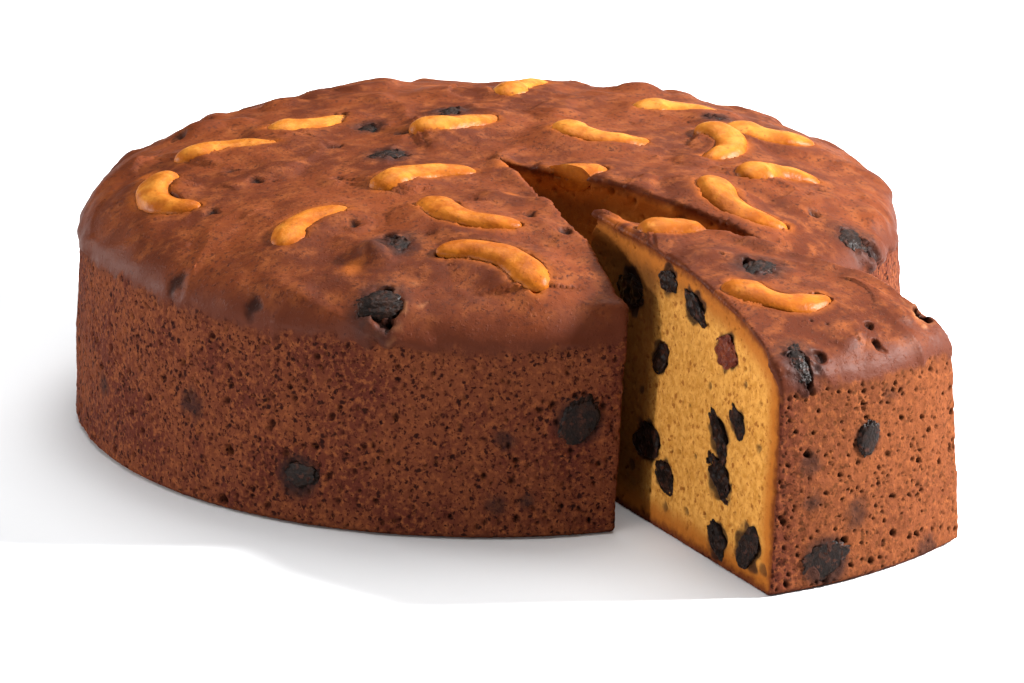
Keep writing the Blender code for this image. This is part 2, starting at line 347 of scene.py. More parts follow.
def cashew_girth(along):
    """How thick the nut is there against its thick end; along runs from -0.5 to 0.5."""
    blunt = max(1 - (2 * along) ** 4, 0) ** 0.5
    head = 0.10 * math.exp(-(((along + 0.30) / 0.14) ** 2))
    return blunt * (1 + head - (1 - CASHEW_THIN_END) * (along + 0.5))


def bend(along, across, length, curl):
    """Where a point of a straight nut comes to when the nut is curled. All on the flat."""
    radius = length / curl
    out = radius - across
    side = radius * math.cos(curl / 4) - out * math.cos(along * curl)
    return Vector((out * math.sin(along * curl), side, 0))


def seat(x, y, heading, depth):
    """Matrix that lays a piece on the crust, turned to its heading and sunk by the depth."""
    up = crust_normal(x, y)
    forward = Vector((math.cos(heading), math.sin(heading), 0))
    forward = (forward - up * forward.dot(up)).normalized()
    turn = Matrix((forward, up.cross(forward), up)).transposed().to_4x4()
    return Matrix.Translation(crust_point(x, y) - up * depth) @ turn


def cashew_path(x, y, heading, length, curl, sunk, covered):
    """Points down a nut's middle as seen from above.

    Each comes with the nut's half width there, how proud it stands and how much of it is covered.
    """
    laid = seat(x * MM, y * MM, math.radians(heading), (sunk - 0.5) * CASHEW_THICKNESS)
    samples = []
    for step in range(PATH_SAMPLES):
        along = (step + 0.5) / PATH_SAMPLES - 0.5
        girth = cashew_girth(along)
        middle = laid @ bend(along, 0, length * MM, math.radians(curl))
        proud = middle.z + CASHEW_CROWN * girth - crust_point(middle.x, middle.y).z
        to_end = (0.5 - abs(along)) * length * MM
        place = Vector((middle.x, middle.y, 0))
        hidden = covered * (0.4 + 2.2 * (2 * along) ** 2)
        samples.append((place, min(CASHEW_WIDTH / 2 * girth, to_end * 1.2), proud, hidden))
    return samples


# %% Raisins
# x, y (mm), heading (degrees), length (mm), share sunk.
CAKE_RAISINS = [
    (-24, 9, -10, 12, 0.66),
    (10, 28, 20, 11, 0.62),
    (-11, 34, 5, 9, 0.74),
    (-60, -41, 35, 13, 0.72),
    (-76, -56, -40, 13, 0.60),
    (62, -12, 0, 9, 0.58),
    (45, -84, 25, 12, 0.66),
]
SLICE_RAISINS = [
    (-5, -60, 15, 13, 0.70),
    (-25.5, -92, 60, 11, 0.66),
]
# Bearing (degrees), height (mm), length (mm), tilt of the long side (degrees), share sunk.
CAKE_WALL_RAISINS = [
    (-116, 28, 13, 60, 0.80),
    (-154, 12, 12, 10, 0.86),
]
SLICE_WALL_RAISINS = [
    (-103, 6, 14, 12, 0.72),
    (-96, 33, 9, 70, 0.84),
]
# Along the left cut and up it (mm), length, breadth (mm), slope (degrees).
CUT_RAISINS = [
    (19, 52, 13, 7, 0),
    (36, 59, 9, 5, 0),
    (49, 56, 12.5, 4.5, -32),
    (35, 40, 9, 5, 60),
    (32, 19, 12, 8, 24),
    (64, 29.5, 12.5, 4.5, -52),
    (72, 35, 9, 4, -45),
    (66, 19.8, 13.5, 6, -42),
    (41, 13, 9, 6, -30),
    (66.8, 5.4, 10, 6, -42),
    (80.6, 8.3, 13, 6.5, 61),
]
CUT_CHERRY = (65, 50, 9, 7.5, 0)
RAISIN_THICKNESS = 0.62
RAISIN_BREADTH = 0.70
RAISIN_HALF_WIDTH = 0.42  # mean of the two sides, against the length


def on_cut(side, distance, height):
    """The point of a cut face at this distance from the cuts' meeting line and this height (mm)."""
    point, into_slice = cut_plane(side)
    along = cut_line(side)
    up = into_slice.cross(along) * side
    return point + along * distance * MM + up * ((height * MM - point.z) / up.z)


def on_wall(bearing, height, radius):
    """A spot of the wall: its point, its radius and its share sunk."""
    turn = math.radians(bearing)
    return Vector((TIN_RADIUS * math.cos(turn), TIN_RADIUS * math.sin(turn), height * MM)), radius * MM, 0.5


nut_samples = []
for nut in CAKE_CASHEWS + SLICE_CASHEWS + [CUT_CASHEW]:
    nut_samples += cashew_path(*nut)
nut_tree = kdtree.KDTree(len(nut_samples))
for index, sample in enumerate(nut_samples):
    nut_tree.insert(sample[0], index)
nut_tree.balance()

# Spots where raisins lie: middle (on the flat for the top), half width, share sunk.
top_spots = [(Vector((x, y, 0)) * MM, length * MM * RAISIN_HALF_WIDTH, sunk)
             for x, y, _, length, sunk in CAKE_RAISINS + SLICE_RAISINS]
wall_spots = [on_wall(bearing, height, length * RAISIN_HALF_WIDTH)
              for bearing, height, length, _, _ in CAKE_WALL_RAISINS + SLICE_WALL_RAISINS]
cut_spots = [(on_cut(-1, distance, height), (length + breadth) * MM / 4, 0.5)
             for distance, height, length, breadth, _ in CUT_RAISINS + [CUT_CHERRY]]
print(len(nut_samples), "samples along the nuts,", len(top_spots + wall_spots + cut_spots), "raisins")

# %% [markdown]
# ## The relief
#
# Everything that gives the crust its life is a small push in or out along the surface. The bodies are
# remeshed to an even grain of less than a millimetre first, so that the pushes have points to work on. Each
# point learns what it belongs to: the skin of the top, the wall that was against the tin, or the cut crumb.
# How deep it lies under the baked surface tells the cut from the crust, and the paint uses that number later.

# %% Pores, pits and the fruit's edge
def pore(point, spacing, largest):
    """1 in the middle of an open bubble and 0 outside it. Most bubbles are small and a few are large."""
    bent = point + noise.noise_vector(point / (1.3 * MM)) * 0.35 * MM
    distances, centres = noise.voronoi(bent / spacing)
    lot = min(abs(noise.noise(centres[0] * 731)) * 2.2, 1)
    reach = largest * (0.35 + 0.65 * lot * lot) / spacing
    return smooth_step(0, 1, (1 - distances[0] / reach) * 1.6) if distances[0] < reach else 0


def nearest_spot(point, spots):
    """How far the nearest spot is as a share of its half width, with that width and the share sunk."""
    best = (9, 1 * MM, 0.5)
    for spot, half, sunk in spots:
        share = (point - spot).length / half
        if share < best[0]:
            best = (share, half, sunk)
    return best


OTHER_BUBBLES = Vector((0.3, 0.1, 0.7))  # moves the small pores away from the large ones
SKIN_THICKNESS = 0.3 * MM
UNDER_FRUIT = 2.4 * MM


def skin_by_fruit(share, limit, fruit_height, level):
    """Height of the skin by a fruit: it rides up on the edge and dives out of sight in the opening."""
    on_fruit = fade(limit - 0.05, limit + 0.25, share)
    riding = level * (1 - on_fruit) + (fruit_height + SKIN_THICKNESS) * on_fruit
    opening = fade(limit - 0.10, limit + 0.04, share)
    return riding * (1 - opening) - UNDER_FRUIT * opening, opening


# %% The skin of the top
# Swells where fruit lies buried: x, y, radius, height (mm).
LUMPS = [(26, 47, 10, 1.8), (68, 25, 9, 2.2), (-37, 70, 9, 2.4), (-66, -41, 8, 1.4), (-62, 58, 9, 1.8),
         (4, 76, 9, 1.6), (-88, 20, 9, 1.4), (30, 10, 9, 0.9), (-12, -50, 9, 1.0), (60, -75, 8, 1.2)]
# Pits and torn holes in the skin: x, y, radius, depth (mm), share of torn crumb that shows.
PITS = [
    (-75, -58, 3.6, 2.6, 1.0), (-58, -36, 2.0, 1.2, 0.0), (-28, 26, 2.6, 1.4, 0.0), (-44, 3, 2.2, 1.0, 0.0),
    (-57, 18, 2.0, 0.9, 0.0), (-57, 28, 2.4, 0.9, 0.0), (-75, 11, 2.2, 1.0, 0.0), (40, 23, 2.4, 1.4, 0.0),
    (52, -62, 2.0, 1.0, 0.0), (41, -74, 1.6, 1.2, 0.0), (-25, -47, 2.4, 1.2, 0.0), (-97, -5, 3.0, 0.4, 0.0),
    (-93, -30, 2.6, 0.4, 0.0), (-1, -91, 1.5, 1.4, 0.0), (-3, -95, 1.4, 1.3, 0.0), (17, -91, 3.0, 2.6, 1.0),
    (-20, -93, 2.4, 1.4, 0.0), (-12, 34, 2.6, 1.3, 0.0), (13, 32, 2.4, 1.3, 0.0), (49, -86, 2.4, 1.3, 0.0),
    (-11, 20, 2.2, 1.2, 0.0), (-60, -25, 2.0, 0.9, 0.0), (-24, -60, 2.4, 1.4, 0.0), (-42, 70, 2.4, 1.3, 0.0),
]
# Nuts that lie so shallow that they shine through the skin: x, y, radius (mm).
GLOWS = [(-73, -42, 3.4), (-3, -78, 2.4), (30, 62, 3.0), (-68, 48, 3.0), (80, 30, 2.6), (-20, -34, 2.6),
         (-7, -17, 4.5), (-6, -24, 4.0)]
NUT_SWELL_REACH = 10 * MM
pit_tree = kdtree.KDTree(len(PITS))
for index, pit in enumerate(PITS):
    pit_tree.insert(Vector((pit[0], pit[1], 0)) * MM, index)
pit_tree.balance()
print(len(PITS), "pits,", len(LUMPS), "swells and", len(GLOWS), "glows in the skin")


def plain_skin(point):
    """Folds, wrinkles and grain of the skin away from the fruit."""
    flow = wavy(point, 30 * MM, 7)
    fold = max(0, 1 - abs(flow) * 5) ** 2
    buried = smooth_step(0.12, 0.5, wavy(point, 13 * MM, 3))
    push = fold * 0.6 * MM + buried * 1.1 * MM + wavy(point, 7 * MM) * 0.4 * MM
    push += wavy(point, 2.6 * MM, 5) * 0.10 * MM + wavy(point, 1.1 * MM, 9) * 0.05 * MM
    for x, y, radius, height in LUMPS:
        away = math.hypot(point.x - x * MM, point.y - y * MM) / (radius * MM)
        if away < 1:
            push += fade(0, 1, away) * height * MM
    return push


def skin_relief(point):
    """Push of the skin, and its painted shade in pits, pores and creases, how stained by fruit, how thin over
    a nut and how torn the spot is.
    """
    flat = Vector((point.x, point.y, 0))
    push = plain_skin(point)
    painted_recess_shade = stain = thin = torn = 0.0

    _, index, gap = nut_tree.find(flat)
    _, half, proud, covered = nut_samples[index]
    share = gap / half
    edge = gap - half
    if edge < NUT_SWELL_REACH:
        uneven = smooth_step(-0.25, 0.35, wavy(flat, 8 * MM, 4))
        flush = max(proud - 0.20 * CASHEW_THICKNESS, 0.8 * MM)
        level = flush * fade(-1 * MM, NUT_SWELL_REACH, edge) + push * 0.6
        limit = 0.82 - 0.62 * covered + (0.14 + 0.6 * covered) * wavy(flat, 5 * MM, 2)
        limit -= 1.3 * fade(0, 1.2 * MM, proud)
        dome = proud - CASHEW_CROWN * (1 - max(1 - min(share, 1) ** 2, 0) ** 0.5)
        push, opening = skin_by_fruit(share, limit, dome, level)
        crease = fade(0, 0.7 * MM, abs(gap - (limit + 0.06) * half)) * uneven
        push -= crease * 0.5 * MM * (1 - opening)
        # Painted shade in the crease beside the nut.
        painted_recess_shade = crease * 0.8
        thin = fade(limit * half, (limit + 0.1) * half + 2.6 * MM, gap)
        thin *= 1 - 0.65 * uneven

    for x, y, radius in GLOWS:
        away = math.hypot(point.x - x * MM, point.y - y * MM) / (radius * MM)
        if away < 1.6:
            thin = max(thin, fade(0.4, 1.1, away * (1 + 0.5 * wavy(point, 2.5 * MM, 6))))

    share, half, sunk = nearest_spot(flat, top_spots)
    if share < 2.4:
        limit = 0.50 + 0.75 * wavy(flat, 3.5 * MM, 6)
        dome = half * 0.74 * (max(1 - min(share, 1) ** 2, 0) ** 0.5 - (sunk - 0.5) * 2)
        level = push + 0.5 * MM * fade(0.8, 2.2, share)
        push, opening = skin_by_fruit(share, limit, min(dome, level + 0.2 * MM), level)
        push += fade(0.6, 1.3, share) * wavy(point, 1.8 * MM, 3) * 0.7 * MM
        # Painted shade in the gap where the skin meets the raisin.
        painted_recess_shade = max(painted_recess_shade, fade(0, 0.30, abs(share - limit)) * 0.9)
        stain = fade(0.7, 1.7, share) * (0.65 + 0.5 * wavy(point, 3 * MM, 2))

    _, index, gap = pit_tree.find(flat)
    _, _, radius, depth, raw = PITS[index]
    ragged = gap / (radius * MM) * (1 + 0.7 * wavy(point, 2.4 * MM, 1))
    if ragged < 2:
        pit = fade(0.35, 1, ragged)
        push -= pit * depth * MM
        # Painted shade in the pit.
        painted_recess_shade = max(painted_recess_shade, pit)
        side = smooth_step(-0.3, 0.5, wavy(flat, 5 * MM, 8) + 0.3 * wavy(point, 1.5 * MM, 2))
        torn = (smooth_step(0.5, 0.9, ragged) - smooth_step(1.0, 1.5, ragged)) * raw * side
        push += torn * (0.15 + 0.6 * wavy(point, 1.3 * MM, 4)) * MM
    tiny = pore(point, 4.0 * MM, 0.7 * MM) * smooth_step(-0.1, 0.3, wavy(flat, 16 * MM, 6))
    push -= tiny * 0.5 * MM
    # The tiny pores get painted shade too.
    return push, max(painted_recess_shade, tiny * 0.75), stain, thin, torn


# %% The wall
# Fruit just under the wall that only stains it, and larger holes: bearing (degrees), height and radius (mm).
WALL_STAINS = [(166, 18, 3.6), (-172, 24, 4.6), (-126, 24, 3.4), (-127, 8, 3.2), (-123, 9, 2.6),
               (-105, 30, 4), (-92, 42, 3), (-98, 16, 4.2), (-105, 21, 3.4), (-85, 1, 5), (100, 20, 5),
               (70, 12, 4), (40, 30, 5), (10, 22, 4), (-20, 14, 5), (-50, 30, 4), (-68, 12, 4),
               (135, 33, 4), (20, 6, 4)]
WALL_HOLES = [(-165, 15, 1.5), (-166, 2, 1.6), (-153, 44, 1.8), (-175, 36, 1.2), (-97, 40, 2.0),
              (-100, 10, 1.2), (-146, 33, 1.0), (-140, 20, 0.9), (-118, 40, 1.1), (-135, 42, 1.3),
              (-88, 30, 1.2), (-82, 22, 1.0), (-79, 38, 1.3), (60, 24, 1.5), (120, 38, 1.3),
              (0, 12, 1.4), (-35, 36, 1.5), (90, 8, 1.2)]


wall_stains = [on_wall(*stain) for stain in WALL_STAINS]
wall_holes = [on_wall(*hole) for hole in WALL_HOLES]
print(len(wall_stains), "stains and", len(wall_holes), "holes in the wall")


def wall_relief(point):
    large = pore(point, 3.1 * MM, 1.15 * MM)
    small = pore(point + OTHER_BUBBLES, 1.6 * MM, 0.72 * MM)
    push = wavy(point, 14 * MM) * 0.5 * MM + wavy(point, 4 * MM, 5) * 0.25 * MM
    push += wavy(point, 1.5 * MM, 9) * 0.2 * MM
    push -= large * 1.1 * MM + small * 0.6 * MM
    # Painted shade in the pores, and below in the holes.
    painted_recess_shade = max(large, small * 0.8)
    share, half, _ = nearest_spot(point, wall_holes)
    hole = fade(0.4, 1, share * (1 + 0.6 * wavy(point, 1.8 * MM, 1)))
    push -= hole * 1.5 * half
    painted_recess_shade = max(painted_recess_shade, hole)
    share = nearest_spot(point, wall_stains)[0]
    stain = 0.8 * fade(0.3, 1.15, share + 0.4 * wavy(point, 3 * MM, 2))
    share = nearest_spot(point, wall_spots)[0]
    if share < 2:
        limit = 0.55 + 0.7 * wavy(point, 3.0 * MM, 6)
        opening = fade(limit - 0.10, limit + 0.06, share)
        push -= opening * 0.9 * MM
        stain = max(stain, fade(0.75, 1.35, share))
    return push, painted_recess_shade, stain, 0.0, 0.0


# %% The crumb
# Small dark bits in the cut faces: side of the cut, distance and height (mm), radius (mm).
CRUMB_MARKS = [(-1, 58, 40, 1.0), (-1, 88, 5, 1.8), (-1, 42, 6, 1.6), (-1, 82, 32, 1.4), (-1, 50, 33, 0.9),
               (-1, 27, 30, 1.5), (-1, 25, 11, 1.8), (-1, 54, 22, 0.9), (-1, 74, 45, 0.9), (-1, 52, 8, 1.2),
               (1, 57, 60, 2.0), (1, 30, 40, 3.0), (1, 48, 22, 3.4), (1, 72, 36, 2.6), (1, 64, 12, 3.0),
               (1, 20, 18, 2.6), (1, 84, 20, 2.2), (1, 40, 54, 2.0), (1, 12, 44, 2.2), (1, 80, 48, 1.6)]
crumb_marks = [(on_cut(side, distance, height), radius * MM, 0.5)
               for side, distance, height, radius in CRUMB_MARKS]
print(len(crumb_marks), "marks in the crumb")


def crumb_relief(point, depth):
    large = pore(point, 2.8 * MM, 0.85 * MM)
    small = pore(point + OTHER_BUBBLES, 1.4 * MM, 0.5 * MM)
    torn = fade(0, 3 * MM, depth)
    push = wavy(point, 7 * MM) * 0.3 * MM + wavy(point, 1.7 * MM, 9) * (0.2 + 0.25 * torn) * MM
    push -= large * 0.8 * MM + small * 0.35 * MM
    # Painted shade in the crumb's pores.
    painted_recess_shade = max(large, small * 0.6) * 0.35
    share = nearest_spot(point, crumb_marks)[0]
    stain = 0.75 * fade(0.5, 1.1, share + 0.5 * wavy(point, 1.8 * MM, 2))
    push -= stain * 0.4 * MM
    share = nearest_spot(point, cut_spots)[0]
    if share < 2:
        limit = 0.95 + 0.45 * wavy(point, 2.5 * MM, 3)
        opening = fade(limit - 0.2, limit + 0.1, share)
        push -= 0.8 * MM * opening
        stain = max(stain, fade(limit, limit + 0.3, share))
    return push, painted_recess_shade, stain, 0.0, 0.0


# %% Give a body its relief
CAKE_GRAIN = 0.62 * MM
SLICE_GRAIN = 0.38 * MM
MOST_TRIANGLES = 194000


def even_skin(piece, grain):
    """Rebuilds the piece's surface as an even grid of small faces."""
    remesh = piece.modifiers.new("grain", "REMESH")
    remesh.mode = "VOXEL"
    remesh.voxel_size = grain
    settle(piece)


def skin_line(point):
    """Height of the ragged line where the skin of the top ends and the open wall begins."""
    bearing = math.atan2(point.y, point.x)
    sway = noise.noise(Vector((math.cos(bearing) * 4, math.sin(bearing) * 4, 1.7)))
    jag = noise.noise(Vector((math.cos(bearing) * 22, math.sin(bearing) * 22, 5.1)))
    return RIM_HEIGHT + 0.6 * MM + sway * 2.4 * MM + jag * 1.4 * MM


def blend(first, second, share):
    """The first list of numbers where share is 1, the second where it is 0."""
    return tuple(a * share + b * (1 - share) for a, b in zip(first, second))


# The third fact is painted shade in pores, pits, holes and creases.
FACTS = ("depth", "skin", "painted_recess_shade", "stain", "thin", "torn", "painted_wall_light", "painted_notch_shade")
PAINTED_LIGHT_BEARING = -math.pi / 2  # the side where the wall is painted lighter: painted light where the key lamp falls on the slice's wall
NOTCH_SHADE_RADIUS = 38 * MM  # inside it the crumb is painted darker: painted shade of the notch


def carve(piece):
    """Pushes every point of the body by its relief and returns what the paint needs to know about it."""
    mesh = piece.data
    nothing = (0.0,) * 5
    moves = []
    facts = []
    for vertex in mesh.vertices:
        point = vertex.co.copy()
        normal = vertex.normal.copy()
        depth = BAKED_SURFACE.find_nearest(point)[3]
        in_crumb = smooth_step(0.35 * MM, 1.0 * MM, depth)
        above = point.z - skin_line(point)
        in_skin = smooth_step(-1.0 * MM, 1.2 * MM, above + wavy(point, 3 * MM, 8) * 2 * MM)
        if normal.z < -0.7 and point.z < 1 * MM:
            moves.append(point)
            facts.append((depth,) + (0.0,) * (len(FACTS) - 1))
            continue
        layer = nothing
        if in_crumb < 1:
            skin = skin_relief(point) if in_skin > 0 else nothing
            wall = wall_relief(point) if in_skin < 1 else nothing
            push, painted_recess_shade, *rest = blend(skin, wall, in_skin)
            # Painted shade in a band just under the skin's edge.
            skin_edge_shade = fade(0, 1.4 * MM, abs(above + 0.6 * MM)) * 0.35
            painted_recess_shade = max(painted_recess_shade, skin_edge_shade * (0.5 + 0.5 * wavy(point, 5 * MM, 3)))
            layer = (push, painted_recess_shade, *rest)
        if in_crumb > 0:
            layer = blend(crumb_relief(point, depth), layer, in_crumb)
        point += normal * layer[0] * smooth_step(0, 1.2 * MM, point.z)
        moves.append(point)
        # Painted light: the wall is painted lighter near that bearing, on the slice's wall that the key lamp
        # lights.
        bearing = abs(math.atan2(point.y, point.x) - PAINTED_LIGHT_BEARING)
        painted_wall_light = fade(0.8 * CUT_HALF_ANGLE, 1.3 * CUT_HALF_ANGLE, bearing)
        # Painted shade of the notch, near the axis.
        painted_notch_shade = fade(NOTCH_SHADE_RADIUS, NOTCH_SHADE_RADIUS + 6 * MM, math.hypot(point.x, point.y))
        facts.append((depth, in_skin, *layer[1:], painted_wall_light, painted_notch_shade))
    for vertex, move in zip(mesh.vertices, moves):
        vertex.co = move
    return facts


def count_triangles(piece):
    return sum(len(face.vertices) - 2 for face in piece.data.polygons)


def thin_out(piece, facts):
    """Merges faces where the surface is even, and gives the points that stay their facts as attributes."""
    points = kdtree.KDTree(len(facts))
    for vertex in piece.data.vertices:
        points.insert(vertex.co, vertex.index)
    points.balance()
    triangles = count_triangles(piece)
    if triangles > MOST_TRIANGLES:
        merge = piece.modifiers.new("merge", "DECIMATE")
        merge.ratio = MOST_TRIANGLES / triangles
        merge.use_collapse_triangulate = True
        settle(piece)
    kept = [facts[points.find(vertex.co)[1]] for vertex in piece.data.vertices]
    for column, name in enumerate(FACTS):
        layer = piece.data.attributes.new(name, "FLOAT", "POINT")
        layer.data.foreach_set("value", [fact[column] / (MM if name == "depth" else 1) for fact in kept])
    piece.data.shade_smooth()
    print(piece.name, "triangles", triangles, "->", count_triangles(piece))


# The knife dragged the slice's tip out a little, the tough skin more than the crumb.
TIP_LENGTH = 9 * MM
TIP_DRAWN = 3.2 * MM


def draw_tip(piece):
    for vertex in piece.data.vertices:
        share = 1 - (CUT_APEX.y - vertex.co.y) / TIP_LENGTH
        if share > 0:
            toughness = 0.35 + 0.65 * smooth_step(40 * MM, 58 * MM, vertex.co.z)
            vertex.co.y += TIP_DRAWN * min(share, 1) ** 2 * toughness


for body, grain in ((cake, CAKE_GRAIN), (cake_slice, SLICE_GRAIN)):
    even_skin(body, grain)
    facts = carve(body)
    if body is cake_slice:
        draw_tip(body)
    thin_out(body, facts)
cake_slice.data.transform(SLICE_PLACE)

# %% [markdown]
# ## The fruit itself
#
# A cashew is a kidney: a ball stretched out, thinned towards one end and bent. A groove runs along its inner
# side, where the two halves of the kernel meet.

# %% Cashew pieces
CASHEW_SIDES = 28
PAINTED_LIT_SIDE = Vector((0.6, 0.8))  # the side where the nuts are painted paler: painted light from the lamps behind
NUT_SHADE_BASE = 0.34
NUT_LIGHT_REACH = 210
NUT_LOW_SHADE = 0.6  # painted shade: how much darker a nut is low down, where the skin meets it
CASHEW_RINGS = 40


def cashew_mesh(x, y, heading, length, curl, sunk, covered):
    nut = bmesh.new()
    bmesh.ops.create_uvsphere(nut, u_segments=CASHEW_SIDES, v_segments=CASHEW_RINGS, radius=0.5,
                              matrix=Matrix.Rotation(math.pi / 2, 4, "Y"))
    length *= MM
    curl = math.radians(curl)
    for vertex in nut.verts:
        along, across, up = vertex.co
        round_share = max((1 - (2 * along) ** 2) ** 0.5, 0.2)
        girth = cashew_girth(along) / round_share
        groove = 1 - 0.10 * math.exp(-((math.atan2(up, across * math.copysign(1, curl)) / 0.28) ** 2))
        uneven = 1 + 0.13 * noise.noise(Vector((along * 5 + x, across * 3 + y, up * 3)))
        spot = bend(along, across * CASHEW_WIDTH * girth * groove * uneven, length, curl)
        spot.z = up * (2 * CASHEW_CROWN if up > 0 else CASHEW_THICKNESS) * girth * groove * uneven
        vertex.co = spot
    bmesh.ops.recalc_face_normals(nut, faces=nut.faces)
    # Painted light and shade: paler towards the lamps behind, darker low down where the skin meets the nut.
    nut_light_shade = nut.verts.layers.float.new("nut_light_shade")
    for vertex in nut.verts:
        low = fade(0.1, 0.85, vertex.co.z / CASHEW_CROWN)
        vertex[nut_light_shade] = NUT_SHADE_BASE - (x * PAINTED_LIT_SIDE.x + y * PAINTED_LIT_SIDE.y) / NUT_LIGHT_REACH + NUT_LOW_SHADE * low
    nut.transform(seat(x * MM, y * MM, math.radians(heading), (sunk - 0.5) * CASHEW_THICKNESS))
    return nut


def finish_fruit(mesh, name, in_slice=False):
    """Turns the mesh into a smooth piece that stands for the frame's node of the same name."""
    if in_slice:
        mesh.transform(SLICE_PLACE)
    piece = new_piece(mesh, name.replace("cashew", "nut").replace("raisin", "dried"))
    piece.data.shade_smooth()
    piece.data.set_sharp_from_angle(angle=math.radians(60))
    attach(piece, "root")
    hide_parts(name)
    return piece


nuts = [finish_fruit(cashew_mesh(*nut), f"cashew_cake_{number:02d}")
        for number, nut in enumerate(CAKE_CASHEWS, 1)]
for number, nut in enumerate(SLICE_CASHEWS, 1):
    nuts.append(finish_fruit(cashew_mesh(*nut), f"cashew_slice_{number:02d}", in_slice=True))
point, into_slice = cut_plane(1)
stays = cashew_mesh(*CUT_CASHEW)
keep_side(stays, point, -into_slice)
nuts.append(finish_fruit(stays, "cashew_cut_cake"))
goes = cashew_mesh(*CUT_CASHEW)
for side in (-1, 1):
    keep_side(goes, *cut_plane(side))
nuts.append(finish_fruit(goes, "cashew_cut_slice", in_slice=True))
print(len(nuts), "nuts")

# %% Raisin pieces
RAISIN_FINENESS = 5


def raisin_ball(length, breadth, seed):
    """A dried grape: a squeezed ball whose skin has fallen into folds along its length."""
    ball = bmesh.new()
    bmesh.ops.create_icosphere(ball, subdivisions=RAISIN_FINENESS, radius=0.5)
    for vertex in ball.verts:
        spot = vertex.co
        shape = noise.noise(Vector((spot.x * 2, spot.y * 5, spot.z * 5 + seed)))
        fold = abs(noise.noise(Vector((spot.x * 5 + seed, spot.y * 11, spot.z * 11))))
        fine = abs(noise.noise(Vector((spot.x * 12, spot.y * 22 + seed, spot.z * 22))))
        folded = 0.30 * (0.35 - min(fold, 0.35)) + 0.12 * (0.3 - min(fine, 0.3))
        vertex.co = spot * (1.02 + 0.16 * shape - folded)
    thickness = breadth * RAISIN_THICKNESS / RAISIN_BREADTH
    bmesh.ops.scale(ball, vec=(length, breadth, thickness), verts=ball.verts)
    return ball


TOP_RAISIN_PROUD = -0.2 * MM
LEFT_PROUD = 0.5


def press_flush(ball, level):
    """Presses what stands above the level down to a low rise."""
    for vertex in ball.verts:
        if vertex.co.z > level:
            vertex.co.z -= (vertex.co.z - level) * (1 - LEFT_PROUD)


def top_raisin_mesh(x, y, heading, length, sunk, seed):
    length *= MM
    ball = raisin_ball(length, length * RAISIN_BREADTH, seed)
    depth = (sunk - 0.5) * length * RAISIN_THICKNESS
    press_flush(ball, depth + TOP_RAISIN_PROUD)
    ball.transform(seat(x * MM, y * MM, math.radians(heading), depth))
    return ball


WALL_RAISIN_DEPTH = 0.35 * MM
PRESSED_BY_TIN = 0.93


def wall_raisin_mesh(bearing, height, length, tilt, sunk, seed):
    length *= MM
    ball = raisin_ball(length, length * RAISIN_BREADTH, seed)
    reach = TIN_RADIUS - (sunk - 0.5) * length * RAISIN_THICKNESS
    outward = Matrix.Rotation(math.radians(bearing), 4, "Z")
    stand = Matrix.Rotation(math.pi / 2, 4, "Y") @ Matrix.Rotation(math.radians(90 + tilt), 4, "Z")
    ball.transform(Matrix.Translation((reach, 0, height * MM)) @ stand)
    for vertex in ball.verts:
        over = vertex.co.x - (TIN_RADIUS - WALL_RAISIN_DEPTH)
        if over > 0:
            vertex.co.x -= over * PRESSED_BY_TIN
    ball.transform(outward)
    return ball


CUT_DOME = 0.5 * MM
CUT_RAGGED = 0.38


def cut_fruit_mesh(side, distance, height, length, breadth, slope, seed):
    """A fruit that the knife went through: what stood past the cut is pressed back to a low, rough dome."""
    fruit = raisin_ball(length * MM, breadth * MM, seed)
    _, into_slice = cut_plane(side)
    along = cut_line(side)
    up = into_slice.cross(along) * side
    turn = Matrix((along, up, along.cross(up))).transposed().to_4x4()
    centre = on_cut(side, distance, height)
    fruit.transform(Matrix.Translation(centre) @ turn @ Matrix.Rotation(math.radians(slope), 4, "Z"))
    for vertex in fruit.verts:
        away = vertex.co - centre
        vertex.co += away * CUT_RAGGED * noise.noise(away / (4 * MM) + Vector((seed * 3.7, 0, 0)))
    for vertex in fruit.verts:
        out = -(vertex.co - centre).dot(into_slice)
        if out > 0:
            rough = 0.8 + 1.8 * noise.noise(vertex.co / (1.6 * MM))
            vertex.co += into_slice * (out - CUT_DOME * rough * out / (out + CUT_DOME))
    return fruit


# Name of the row, the row, how its raisins are made, and whether they lie in the slice.
RAISIN_ROWS = [
    ("raisin_cake", CAKE_RAISINS, top_raisin_mesh, False),
    ("raisin_cake_wall", CAKE_WALL_RAISINS, wall_raisin_mesh, False),
    ("raisin_slice", SLICE_RAISINS, top_raisin_mesh, True),
    ("raisin_slice_wall", SLICE_WALL_RAISINS, wall_raisin_mesh, True),
    ("raisin_cut", [(-1, *fruit) for fruit in CUT_RAISINS], cut_fruit_mesh, True),
]
raisins = []
for row, fruits, make_mesh, in_slice in RAISIN_ROWS:
    for number, fruit in enumerate(fruits, 1):
        raisins.append(finish_fruit(make_mesh(*fruit, number), f"{row}_{number:02d}", in_slice))
cherry = finish_fruit(cut_fruit_mesh(-1, *CUT_CHERRY, 0), "cherry_cut", in_slice=True)
cherry.name = cherry.data.name = "candied_cherry"
print(len(raisins), "raisins and a cherry")

# %% The bodies stand for their solids
for body, node in ((cake, "cake_body"), (cake_slice, "slice_body")):
    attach(body, "root")
    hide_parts(node)
    print(body.name, "stands for", node)

# %% [markdown]
# ## Materials
#
# A crust is never one brown: it is paler where it is thin and freckled, and painted shade darkens its pores.
# A picture could be wrapped round it, but noise measured in millimetres fits the skin and the cut faces
# alike.
# Each effect is a group that gives only masks or heights, and the materials mix colours with them.

